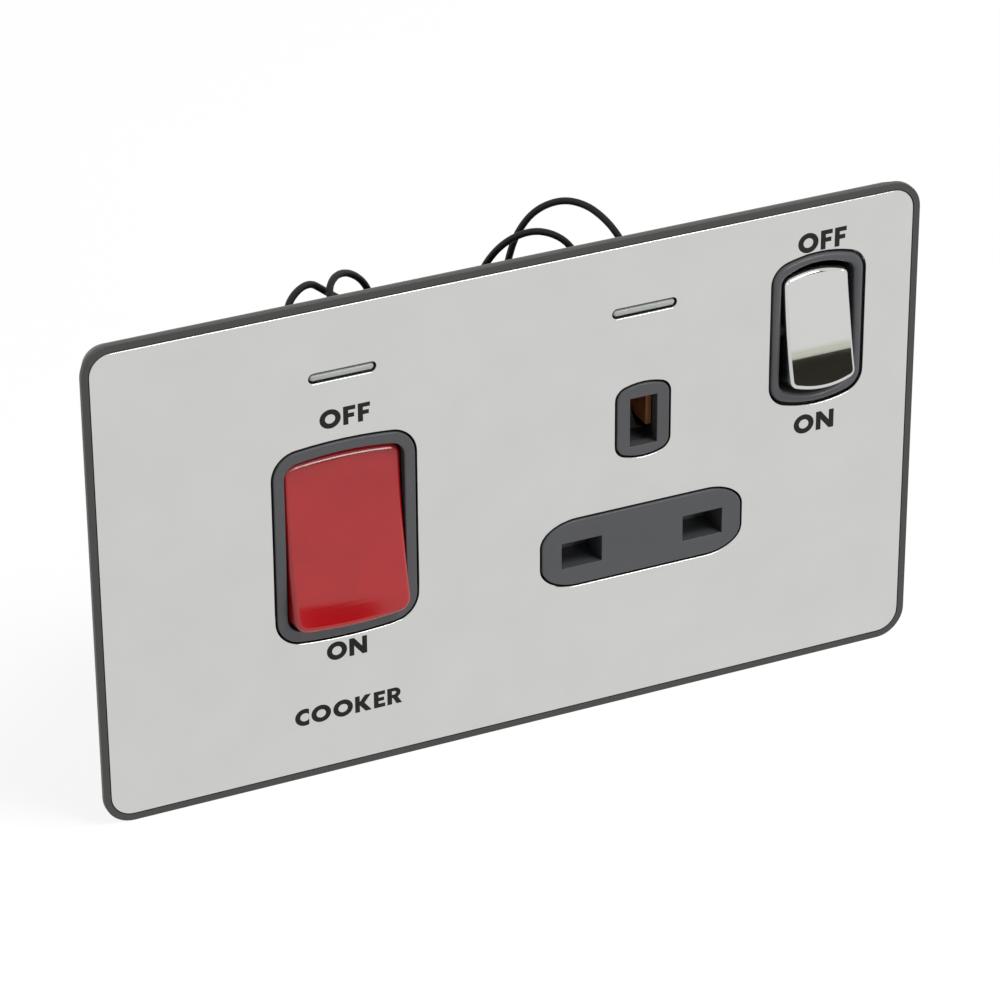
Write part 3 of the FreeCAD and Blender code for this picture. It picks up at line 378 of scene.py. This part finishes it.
def place_mesh(bm, name, material):
    """A smooth-shaded object of this bmesh, at the origin."""
    mesh = bpy.data.meshes.new(name)
    for face in bm.faces:
        face.smooth = True
    bm.to_mesh(mesh)
    bm.free()
    mesh.materials.append(material)
    piece = bpy.data.objects.new(name, mesh)
    bpy.context.scene.collection.objects.link(piece)
    return piece


def paint(material, *nodes):
    """A CAD node whose shape is right keeps it and takes this material."""
    for node in nodes:
        NODES[node].data.materials.clear()
        NODES[node].data.materials.append(material)


def rocker_cap(node, material, facts, ends):
    """A CAD rocker whose front is made again, dished and with rolled edges; its end pins take ends."""
    low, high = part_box(node)
    pivot = Vector(((low.x + high.x) / 2, PIVOT_Y * MM, facts["z"] * MM))
    upright = Matrix.Rotation(math.radians(facts["tilt"]), 3, "X")
    front = pivot.y - facts["rise"] * MM
    half = facts["h"] * MM / 2

    def dish(z):
        return front + facts["dish"] * MM * (1 - abs((z - pivot.z) / half) ** facts["bend"])

    bm = cad_copy(node)
    bmesh.ops.rotate(bm, verts=bm.verts, cent=pivot, matrix=upright)
    bmesh.ops.bisect_plane(bm, geom=bm.verts[:] + bm.edges[:] + bm.faces[:], dist=MERGE,
                           plane_co=(0, facts["cut"] * MM, 0), plane_no=(0, -1, 0), clear_outer=True)
    brim = [e for e in bm.edges if e.is_boundary]
    for cuts in BRIM_CUTS:
        long = [e for e in brim if e.calc_length() > cuts * BRIM_STEP * MM]
        bmesh.ops.subdivide_edges(bm, edges=long, cuts=cuts)
        brim = [e for e in bm.edges if e.is_boundary]
    ring = walk(brim)
    inward = []
    for k, vert in enumerate(ring):
        along = ring[(k + 1) % len(ring)].co - ring[k - 1].co
        side = Vector((along.z, 0, -along.x)).normalized()
        inward.append(side if side.dot(pivot - vert.co) > 0 else -side)
    base = [vert.co.copy() for vert in ring]
    reach = max(abs(spot.x - pivot.x) for spot in base) + MERGE
    for step in range(ROLL_STEPS + 1):
        turn = math.pi / 2 * step / ROLL_STEPS
        made = bmesh.ops.extrude_edge_only(bm, edges=brim)["geom"]
        brim = [e for e in made if isinstance(e, bmesh.types.BMEdge) and e.is_boundary]
        fresh = follow(ring, brim)
        for vert, start, normal in zip(fresh, base, inward):
            up = max(0.0, -normal.z) ** 2
            down = max(0.0, normal.z) ** 2
            roll = (facts["side"] * (1 - up - down) + facts["top"] * up + facts["foot"] * down) * MM
            spot = start + normal * roll * (1 - math.cos(turn))
            vert.co = Vector((spot.x, dish(spot.z) + roll * (1 - math.sin(turn)), spot.z))
        ring = fresh
    flat = bmesh.ops.contextual_create(bm, geom=brim)["faces"]
    for k in range(1, DISH_STRIPS):
        z = pivot.z - half + 2 * half * k / DISH_STRIPS
        borders = list({e for f in flat for e in f.edges})
        cut = bmesh.ops.bisect_plane(bm, geom=flat + borders, dist=MERGE / 10,
                                     plane_co=(0, 0, z), plane_no=(0, 0, 1))
        halves = {g for g in cut["geom"] if isinstance(g, bmesh.types.BMFace)}
        flat = list({f for f in flat if f.is_valid} | halves)
        for vert in (g for g in cut["geom_cut"] if isinstance(g, bmesh.types.BMVert)):
            vert.co.y = dish(vert.co.z)
    bmesh.ops.recalc_face_normals(bm, faces=bm.faces)
    crisp(bm)
    for face in bm.faces:
        face.material_index = int(abs(face.calc_center_median().x - pivot.x) > reach)
    bmesh.ops.rotate(bm, verts=bm.verts, cent=pivot, matrix=upright.inverted())
    cap = place_mesh(bm, node + "_cap", material)
    cap.data.materials.append(ends)
    even = cap.modifiers.new("Even shading", "WEIGHTED_NORMAL")
    even.mode = "FACE_AREA"
    even.weight = 100
    even.keep_sharp = True
    return stand_for(cap, node)


def walk(edges):
    """The vertices of one closed loop of edges, in order."""
    ring = [edges[0].verts[0], edges[0].verts[1]]
    left = set(edges[1:])
    while left:
        link = next((e for e in ring[-1].link_edges if e in left), None)
        if link is None:
            raise RuntimeError("the rocker's brim is not one loop")
        left.discard(link)
        ring.append(link.other_vert(ring[-1]))
    return ring[:-1]


def follow(ring, brim):
    """The extruded loop's vertices in the order of the loop they came from."""
    new = {v for e in brim for v in e.verts}
    return [next(e.other_vert(v) for e in v.link_edges if e.other_vert(v) in new) for v in ring]


def bezel_share(spot):
    """Rounding on the front housing: full on the socket bezel, less elsewhere, little on the pin slots."""
    if spot.y > FACE_DEPTH * MM:
        return INNER_SHARE
    if spot.x > SOCKET_BEZEL_X * MM:
        return 1.0
    for x, z, wide, high in PIN_SLOTS:
        if abs(spot.x - x * MM) < wide * MM and abs(spot.z - z * MM) < high * MM:
            return SLOT_SHARE
    return BOSS_SHARE


def front_only(spot):
    """Full rounding on the edges at a piece's front, a trace on the rest."""
    return 1.0 if spot.y < FACE_DEPTH * MM else INNER_SHARE


def all_round(spot):
    """Full rounding on every edge, also where two roundings come close."""
    return 1.0


def draw_letter(bm, sign, stroke):
    """A heavy capital of rounds and straights, as flat faces on the XZ plane; returns its vertices."""
    before = set(bm.verts)
    radius = LETTER_ROUND if sign in "OC" else LETTER_BOWL
    if sign in "OCR":
        rings = []
        for size in (radius, radius - stroke * (BOWL_STROKE if sign == "R" else 1.0)):
            made = bmesh.ops.create_circle(bm, segments=ROUND_SIDES, radius=size,
                                           matrix=Matrix.Rotation(math.pi / 2, 4, "X"))["verts"]
            rings += {e for v in made for e in v.link_edges}
        bmesh.ops.bridge_loops(bm, edges=rings)
    if sign == "C":
        trim(bm, before, (LETTER_MOUTH, 0, 0), (1, 0, 0))
    if sign == "R":
        trim(bm, before, (0, 0, 0), (-1, 0, 0))
    middle = (LETTER_BOWL_X, 0, 1 - LETTER_BOWL) if sign == "R" else (0, 0, 0.5)
    bmesh.ops.translate(bm, verts=[v for v in bm.verts if v not in before], vec=middle)
    for corners in LETTERS.get(sign, ()):
        bm.faces.new([bm.verts.new((x, 0, z)) for x, z in corners])
    return [v for v in bm.verts if v not in before]


def trim(bm, before, spot, side):
    """Cut the newest faces at a plane and drop what lies on its far side."""
    new = [v for v in bm.verts if v not in before]
    edges = list({e for v in new for e in v.link_edges})
    faces = list({f for v in new for f in v.link_faces})
    bmesh.ops.bisect_plane(bm, geom=new + edges + faces, dist=CUT_REACH,
                           plane_co=spot, plane_no=side, clear_outer=True)


class COOKER_OT_leads(bpy.types.Operator):
    """Make the four indicator leads that loop behind the plate's top edge"""
    bl_idname = "cooker.leads"
    bl_label = "Indicator leads"

    def execute(self, context):
        unit = context.scene.cooker_unit
        # PVC, extruded: near black and even, with a soft sheen along the sleeve.
        sleeve = moulded("extruded_black_pvc", unit.finish.sleeve, 0.55, 0.5, 0.004, IOR=1.4)
        for name, (length, points) in LEADS.items():
            curve = bpy.data.curves.new(name + "_sleeve", "CURVE")
            curve.dimensions = "3D"
            spline = curve.splines.new("NURBS")
            spline.points.add(len(points) - 1)
            for point, place in zip(spline.points, points):
                point.co = (*(c * MM for c in place), 1.0)
            spline.order_u = 3
            spline.use_endpoint_u = True
            spline.resolution_u = 12
            curve.bevel_depth = unit.lead.diameter / 2
            curve.bevel_resolution = 4
            curve.use_fill_caps = True
            curve.materials.append(sleeve)
            lead = bpy.data.objects.new(name + "_sleeve", curve)
            context.scene.collection.objects.link(lead)
            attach(lead, "unit")
            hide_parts(name)
        return {"FINISHED"}


class COOKER_OT_stage(bpy.types.Operator):
    """Set the camera, the soft light, the pale floor and the white surroundings"""
    bl_idname = "cooker.stage"
    bl_label = "Stage"

    def execute(self, context):
        shot = context.scene.cooker_unit.stage
        context.scene.view_settings.view_transform = "Standard"
        self.camera(context.scene, shot)
        self.surroundings(context.scene)
        self.floor()
        self.lamps(context.scene)
        self.cards()
        return {"FINISHED"}

    def camera(self, scene, shot):
        back = Vector((math.sin(shot.azimuth) * math.cos(shot.elevation),
                       -math.cos(shot.azimuth) * math.cos(shot.elevation), math.sin(shot.elevation)))
        right = (-back).cross(Vector((0, 0, 1))).normalized()
        turn = Matrix.Rotation(shot.roll, 3, back)
        right = turn @ right
        up = back.cross(right)
        data = bpy.data.cameras.new("Camera")
        data.lens = shot.lens
        data.sensor_width = SENSOR
        data.clip_start = CLIP_START
        camera = bpy.data.objects.new("Camera", data)
        scene.collection.objects.link(camera)
        spot = back * shot.distance + right * shot.aside[0] + up * shot.aside[1]
        spot.y += PLATE_FRONT
        axes = Matrix((right, up, back)).transposed().to_4x4()
        camera.matrix_world = Matrix.Translation(spot) @ axes
        scene.camera = camera

    def seen(self, tree):
        """1 for rays that show the surroundings: from the camera, off a mirror or through glass."""
        path = add(tree, "LightPath")
        first = add(tree, "Math", operation="MAXIMUM", links={0: path.outputs["Is Camera Ray"],
                                                              1: path.outputs["Is Glossy Ray"]})
        return add(tree, "Math", operation="MAXIMUM",
                   links={0: first.outputs[0], 1: path.outputs["Is Transmission Ray"]}).outputs[0]

    def surroundings(self, scene):
        world = bpy.data.worlds.new("White surroundings")
        world.use_nodes = True
        tree = world.node_tree
        tree.nodes.clear()
        fill = add(tree, "Background", {"Color": (1, 1, 1, 1), "Strength": WORLD_FILL})
        shown = add(tree, "Background", {"Color": (1, 1, 1, 1), "Strength": 1.0})
        mix = add(tree, "MixShader", links={0: self.seen(tree), 1: fill.outputs[0], 2: shown.outputs[0]})
        add(tree, "OutputWorld", links={"Surface": mix.outputs[0]})
        scene.world = world

    def floor(self):
        # Matt white paper: it glows a little to the eye, so that it reads white, and still takes the shadow.
        material, tree = new_material("matt_white_paper")
        paper = add(tree, "BsdfDiffuse", links={"Color": fibres(tree, 2.0, "#E6E6E6", "#EEEEEE")})
        glow = add(tree, "Emission", {"Color": (1, 1, 1, 1), "Strength": FLOOR_GLOW})
        part = add(tree, "Math", {1: FLOOR_GLOW_SHARE}, {0: self.seen(tree)}, operation="MULTIPLY")
        mix = add(tree, "MixShader", links={0: part.outputs[0], 1: paper.outputs[0], 2: glow.outputs[0]})
        add(tree, "OutputMaterial", links={"Surface": mix.outputs[0]})
        bm = bmesh.new()
        bmesh.ops.create_grid(bm, x_segments=1, y_segments=1, size=FLOOR_HALF)
        bmesh.ops.translate(bm, verts=bm.verts, vec=(0, 0, FLOOR_Z))
        place_mesh(bm, "floor", material)

    def lamps(self, scene):
        # The overhead box is kept out of the reflections, so that the polished edges don't flare.
        for name, spot, size, power, mirrored in LAMPS:
            data = bpy.data.lights.new(name, "AREA")
            data.shape = "SQUARE"
            data.size = size
            data.energy = power
            lamp = bpy.data.objects.new(name, data)
            lamp.location = spot
            lamp.visible_glossy = mirrored
            lamp.rotation_euler = Vector(spot).to_track_quat("Z", "Y").to_euler()
            scene.collection.objects.link(lamp)

    def card(self, name, dark, pale, corners):
        """Flat cards that only the glossy pieces see, as a photographer sets them to shape a reflection."""
        material, tree = new_material(name)
        face = add(tree, "Emission", {"Strength": 1.0}, {"Color": fibres(tree, 20.0, dark, pale)})
        add(tree, "OutputMaterial", links={"Surface": face.outputs[0]})
        bm = bmesh.new()
        for spots in corners:
            made = bmesh.ops.create_grid(bm, x_segments=1, y_segments=1, size=0.5)["verts"]
            for vert, spot in zip(sorted(made, key=lambda v: (v.co.y, v.co.x)), spots):
                vert.co = spot
        flat = place_mesh(bm, name + "s", material)
        flat.visible_camera = flat.visible_diffuse = False
        flat.visible_shadow = flat.visible_transmission = False

    def cards(self):
        upright = [((left, -ahead, FLOOR_Z + foot_left), (right, -ahead, FLOOR_Z + foot_right),
                    (left, -ahead, FLOOR_Z + top), (right, -ahead, FLOOR_Z + top))
                   for left, right, ahead, foot_left, foot_right, top in BLACK_CARDS]
        # Card, sprayed black: the dark patch low on each rocker.
        self.card("black_card", "#2A2921", "#3C3A31", upright)
        left, right, near, far = PAPER_STRIP
        lift = FLOOR_Z + PAPER_LIFT
        # Paper, uncoated: the faint cream band above the dark patch on the plated rocker.
        self.card("cream_paper", "#E6E6D8", "#F2F2E6",
                  [((left, -far, lift), (right, -far, lift), (left, -near, lift), (right, -near, lift))])


class COOKER_OT_plate(bpy.types.Operator):
    """Dress the face plate, the carrier behind it and the support frame"""
    bl_idname = "cooker.plate"
    bl_label = "Plate and carrier"

    def execute(self, context):
        unit = context.scene.cooker_unit
        # Stainless sheet, polished: an even, softened reflection and the faint lines of the polishing wheel.
        steel = worked_metal("polished_stainless_steel", unit.finish.steel, 0.14, 0.35, 0.0006,
                             tarnish=0.03)
        # ABS, moulded in a spark-eroded tool: dark and satin, with a fine even grain.
        rim = moulded("spark_textured_abs", unit.finish.rim, 0.5, 0.3, 0.012, IOR=1.53)
        # Mild steel strip, pressed and zinc plated: pale, bluish and slightly cloudy.
        zinc = worked_metal("zinc_plated_steel", "#BFC1BE", 0.34, 0.6, 0.002, tarnish=0.18)
        dress("face_plate", steel, unit.edge.plate, all_round)
        dress("plate_carrier", rim, unit.edge.rim)
        for node in ("support_frame", "frame_rivets", "housing_screws"):
            dress(node, zinc, unit.edge.metal)
        return {"FINISHED"}


class COOKER_OT_housing(bpy.types.Operator):
    """Dress the front housing with its bezels and bosses, the rear housing and the shutter"""
    bl_idname = "cooker.housing"
    bl_label = "Housing"

    def execute(self, context):
        unit = context.scene.cooker_unit
        # Urea thermoset, compression moulded: slate grey, satin, the tool's fine stipple just showing.
        grey = moulded("moulded_grey_urea", unit.finish.housing, 0.36, 0.35, 0.006, IOR=1.55)
        # Nylon, injection moulded: duller than the housing.
        nylon = moulded("moulded_grey_nylon", "#505154", 0.5, 0.3, 0.006, IOR=1.53)
        dress("front_housing", grey, unit.edge.housing, bezel_share)
        dress("rear_housing", grey, unit.edge.housing)
        dress("shutter", nylon, unit.edge.metal)
        return {"FINISHED"}


class COOKER_OT_rockers(bpy.types.Operator):
    """Dress the red cooker rocker and the plated socket rocker"""
    bl_idname = "cooker.rockers"
    bl_label = "Rockers"

    def execute(self, context):
        unit = context.scene.cooker_unit
        # ABS, moulded in a polished tool: deep red under a wet gloss with a trace of orange peel.
        red = moulded("polished_red_abs", unit.finish.red, 0.06, 2.2, 0.001, IOR=1.53)
        # ABS, chrome plated: a mirror, softened by the plastic's slight waviness.
        chrome = worked_metal("chrome_plated_abs", unit.finish.chrome, 0.04, 3.0, 0.001,
                              stretch=(1.0, 1.0, 1.0), tarnish=0.02)
        # ABS, moulded and masked from the plating: dull black pins at the rocker's ends.
        bare = moulded("moulded_black_abs", "#1B1B1B", 0.5, 0.5, 0.004, IOR=1.53)
        rocker_cap("cooker_rocker", red, COOKER_ROCKER, red)
        rocker_cap("socket_rocker", chrome, SOCKET_ROCKER, bare)
        return {"FINISHED"}


class COOKER_OT_indicators(bpy.types.Operator):
    """Dress the two indicator bars and their neon lamps"""
    bl_idname = "cooker.indicators"
    bl_label = "Indicators"

    def execute(self, context):
        unit = context.scene.cooker_unit
        # Polycarbonate, moulded frosted: pale and milky, a soft shine and light spread inside it.
        frosted = moulded("frosted_polycarbonate", unit.finish.lens, 0.32, 0.25, 0.004,
                          **{"IOR": 1.58, "Subsurface Weight": 0.3, "Subsurface Scale": 0.4 * MM})
        dress("cooker_indicator_lens", frosted, unit.edge.lens, front_only)
        dress("socket_indicator_lens", frosted, unit.edge.lens, front_only)
        paint(lamp_glass(), "cooker_indicator_lamp", "socket_indicator_lamp")
        return {"FINISHED"}


class COOKER_OT_contacts(bpy.types.Operator):
    """Dress the terminals, contacts, levers, plungers and springs inside"""
    bl_idname = "cooker.contacts"
    bl_label = "Terminals and contacts"

    def execute(self, context):
        unit = context.scene.cooker_unit
        # Brass, extruded and sawn: warm yellow, drawn lines, dulled in clouds.
        brass = worked_metal("extruded_brass", "#C9A45C", 0.3, 0.4, 0.003, tarnish=0.25)
        # Copper strip, rolled and stamped: red brown, satin, tarnished in places.
        copper = worked_metal("rolled_copper", "#F2AE76", 0.5, 0.4, 0.003, tarnish=0.3)
        # Spring wire, drawn: grey, with fine lines round the wire.
        wire = worked_metal("drawn_spring_steel", "#9C9C9A", 0.3, 0.2, 0.001)
        # Acetal, injection moulded: creamy white, waxy.
        cream = moulded("moulded_white_acetal", "#DAD8CF", 0.4, 0.4, 0.004, IOR=1.48)
        for node in ("supply_terminal_live", "supply_terminal_neutral", "load_terminal_live",
                     "load_terminal_neutral", "earth_terminal", "terminal_screws"):
            dress(node, brass, unit.edge.metal)
        paint(brass, "socket_feed_link", "socket_line_contact", "socket_neutral_contact")
        paint(copper, "cooker_lever_live", "cooker_lever_neutral", "socket_lever", "socket_earth_contact")
        paint(wire, "cooker_spring_live", "cooker_spring_neutral", "socket_spring", "shutter_spring")
        paint(cream, "cooker_plunger_live", "cooker_plunger_neutral", "socket_plunger")
        return {"FINISHED"}


class COOKER_OT_legends(bpy.types.Operator):
    """Print the words ON, OFF and COOKER on the plate"""
    bl_idname = "cooker.legends"
    bl_label = "Legends"

    def execute(self, context):
        unit = context.scene.cooker_unit
        # Pad-printed ink: dark grey and dull, a thin film with slightly uneven cover.
        ink = moulded("pad_printed_ink", unit.finish.ink, 0.75, 0.4, 0.001, IOR=1.38)
        for name, (word, left, right, low, high) in LEGENDS.items():
            bm = bmesh.new()
            at = 0.0
            for sign in word:
                made = draw_letter(bm, sign, unit.legend.stroke)
                bmesh.ops.translate(bm, verts=made, vec=(at - min(v.co.x for v in made), 0, 0))
                at = max(v.co.x for v in made) + unit.legend.space
            foot = min(v.co.z for v in bm.verts)
            tall = max(v.co.z for v in bm.verts) - foot
            bmesh.ops.scale(bm, verts=bm.verts, vec=((right - left) * MM / (at - unit.legend.space), 1.0,
                                                     (high - low) * MM / tall))
            foot = min(v.co.z for v in bm.verts)
            bmesh.ops.translate(bm, verts=bm.verts, vec=(left * MM, PLATE_FRONT, low * MM - foot))
            bmesh.ops.recalc_face_normals(bm, faces=bm.faces)
            film = bmesh.ops.extrude_face_region(bm, geom=bm.faces[:])["geom"]
            bmesh.ops.translate(bm, verts=[g for g in film if isinstance(g, bmesh.types.BMVert)],
                                vec=(0, -unit.legend.film, 0))
            bmesh.ops.recalc_face_normals(bm, faces=bm.faces)
            crisp(bm)
            piece = place_mesh(bm, name, ink)
            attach(piece, "unit")
        return {"FINISHED"}


class COOKER_PT_panel(bpy.types.Panel):
    """Sizes, colours and steps of the cooker unit"""
    bl_idname = "COOKER_PT_panel"
    bl_label = "Cooker unit"
    bl_space_type = "VIEW_3D"
    bl_region_type = "UI"
    bl_category = "Cooker unit"

    def draw(self, context):
        unit = context.scene.cooker_unit
        for group in (unit.finish, unit.edge, unit.legend, unit.lead, unit.stage):
            box = self.layout.box()
            for name in group.bl_rna.properties.keys():
                if name not in ("rna_type", "name"):
                    box.prop(group, name)
        for step in OPERATORS:
            self.layout.operator(step.bl_idname)


OPERATORS = (COOKER_OT_stage, COOKER_OT_leads, COOKER_OT_plate, COOKER_OT_housing, COOKER_OT_rockers,
             COOKER_OT_indicators, COOKER_OT_contacts, COOKER_OT_legends)
CLASSES = (FinishSettings, EdgeSettings, LegendSettings, LeadSettings, StageSettings, UnitSettings,
           *OPERATORS, COOKER_PT_panel)


def register():
    for item in CLASSES:
        bpy.utils.register_class(item)
    bpy.types.Scene.cooker_unit = PointerProperty(type=UnitSettings)


def unregister():
    del bpy.types.Scene.cooker_unit
    for item in reversed(CLASSES):
        bpy.utils.unregister_class(item)


def main():
    register()
    bpy.ops.cooker.stage()
    bpy.ops.cooker.leads()
    bpy.ops.cooker.plate()
    bpy.ops.cooker.housing()
    bpy.ops.cooker.rockers()
    bpy.ops.cooker.indicators()
    bpy.ops.cooker.contacts()
    bpy.ops.cooker.legends()


if __name__ == "__main__":
    main()
